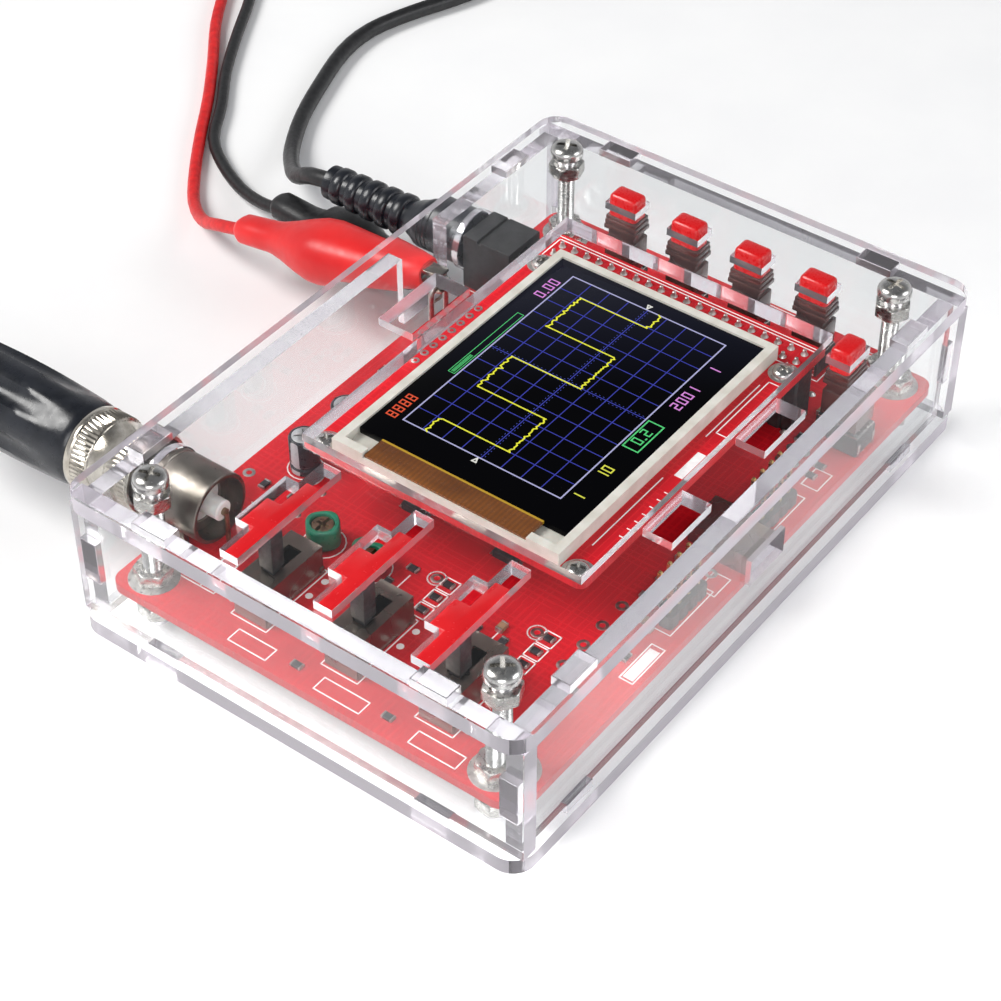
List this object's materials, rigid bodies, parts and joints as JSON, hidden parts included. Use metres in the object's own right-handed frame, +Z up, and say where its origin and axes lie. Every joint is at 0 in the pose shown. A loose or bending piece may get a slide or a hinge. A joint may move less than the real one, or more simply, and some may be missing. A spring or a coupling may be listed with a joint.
{
  "type": "pocket oscilloscope",
  "caption": "Pocket oscilloscope: circuit board and colour display in a bolted clear acrylic box, with slide switches, push buttons, power lead and test lead.",
  "frame": {"origin": "centre of the case's flat underside, where it rests", "axes": "+X along the case's width towards the push buttons, +Y towards the sockets' wall, +Z up"},
  "size_m": [0.2322, 0.2641, 0.0307],
  "materials": {
    "acrylic": "clear laser-cut acrylic sheet",
    "steel_screw": "zinc-plated steel",
    "nut_nickel": "nickel-plated steel",
    "red_board": "red solder mask over glass fibre laminate",
    "chip_black": "moulded black epoxy",
    "sleeve_black": "shrink sleeve on a can",
    "trimmer_green": "green moulded ceramic-filled plastic",
    "brass_rotor": "plated brass",
    "switch_can": "folded tinplate",
    "black_plastic": "moulded black plastic",
    "red_plastic": "bright red plastic",
    "smoke_plastic": "dark stepped plastic",
    "nickel": "nickel-plated brass",
    "white_plastic": "white insulator",
    "gold_pin": "gold-plated brass",
    "bezel_cream": "cream moulded frame",
    "screen_glass": "lit display glass",
    "flex_amber": "amber polyimide flex",
    "cord_black": "black soft vinyl",
    "wire_red": "red soft vinyl",
    "boot_red": "red soft vinyl boot",
    "boot_black": "black soft vinyl boot",
    "plug_black": "moulded black plastic"
  },
  "bodies": {
    "case": {"bottom_plate": "acrylic", "top_plate": "acrylic", "front_wall": "acrylic", "back_wall": "acrylic", "left_wall": "acrylic", "right_wall": "acrylic", "case_screws": "steel_screw", "case_nuts": "nut_nickel", "main_board": "red_board", "board_chips": "chip_black", "capacitors": "sleeve_black", "trimmer_bodies": "trimmer_green", "switch_cans": "switch_can", "tact_switches": "black_plastic", "bnc_shell": "nickel", "bnc_insulator": "white_plastic", "bnc_contact": "gold_pin", "dc_jack": "black_plastic", "dc_jack_pin": "nickel", "test_terminal": "nickel", "header_bases": "black_plastic", "header_pins": "gold_pin", "usb_socket": "nickel", "lcd_board": "red_board", "lcd_bezel": "bezel_cream", "lcd_glass": "screen_glass", "lcd_flex": "flex_amber", "lcd_screws": "steel_screw", "bnc_plug_ring": "nickel", "bnc_plug_body": "plug_black", "dc_plug": "cord_black", "dc_cable": "cord_black", "dc_coil": "cord_black", "dc_far_plug": "cord_black", "probe_cable": "cord_black", "probe_coil": "cord_black", "lead_split": "cord_black", "red_wire": "wire_red", "black_wire": "cord_black", "red_clip": "boot_red", "black_clip": "boot_black"},
    "slider_1": {"slide_lever_1": "black_plastic", "slide_cap_1": "red_plastic"},
    "slider_2": {"slide_lever_2": "black_plastic", "slide_cap_2": "red_plastic"},
    "slider_3": {"slide_lever_3": "black_plastic", "slide_cap_3": "red_plastic"},
    "button_1": {"button_stem_1": "smoke_plastic", "button_cap_1": "red_plastic"},
    "button_2": {"button_stem_2": "smoke_plastic", "button_cap_2": "red_plastic"},
    "button_3": {"button_stem_3": "smoke_plastic", "button_cap_3": "red_plastic"},
    "button_4": {"button_stem_4": "smoke_plastic", "button_cap_4": "red_plastic"},
    "button_5": {"button_stem_5": "smoke_plastic", "button_cap_5": "red_plastic"},
    "trimmer_1": {"trimmer_rotor_1": "brass_rotor"},
    "trimmer_2": {"trimmer_rotor_2": "brass_rotor"}
  },
  "joints": [
    {"name": "slider_1_slide", "type": "slide", "parent": "case", "child": "slider_1", "axis": [1, 0, 0], "range_m": [0, 0.004]},
    {"name": "slider_2_slide", "type": "slide", "parent": "case", "child": "slider_2", "axis": [1, 0, 0], "range_m": [0, 0.004]},
    {"name": "slider_3_slide", "type": "slide", "parent": "case", "child": "slider_3", "axis": [1, 0, 0], "range_m": [0, 0.004]},
    {"name": "button_1_press", "type": "slide", "parent": "case", "child": "button_1", "axis": [0, 0, -1], "range_m": [0, 0.0003], "stiffness_N_per_m": 1500, "springref_m": -0.0003},
    {"name": "button_2_press", "type": "slide", "parent": "case", "child": "button_2", "axis": [0, 0, -1], "range_m": [0, 0.0003], "stiffness_N_per_m": 1500, "springref_m": -0.0003},
    {"name": "button_3_press", "type": "slide", "parent": "case", "child": "button_3", "axis": [0, 0, -1], "range_m": [0, 0.0003], "stiffness_N_per_m": 1500, "springref_m": -0.0003},
    {"name": "button_4_press", "type": "slide", "parent": "case", "child": "button_4", "axis": [0, 0, -1], "range_m": [0, 0.0003], "stiffness_N_per_m": 1500, "springref_m": -0.0003},
    {"name": "button_5_press", "type": "slide", "parent": "case", "child": "button_5", "axis": [0, 0, -1], "range_m": [0, 0.0003], "stiffness_N_per_m": 1500, "springref_m": -0.0003},
    {"name": "trimmer_1_turn", "type": "hinge", "parent": "case", "child": "trimmer_1", "pos_m": [-0.0347, 0.0159, 0.0117], "axis": [0, 0, 1], "continuous": true},
    {"name": "trimmer_2_turn", "type": "hinge", "parent": "case", "child": "trimmer_2", "pos_m": [-0.0347, 0.0066, 0.0117], "axis": [0, 0, 1], "continuous": true}
  ]
}
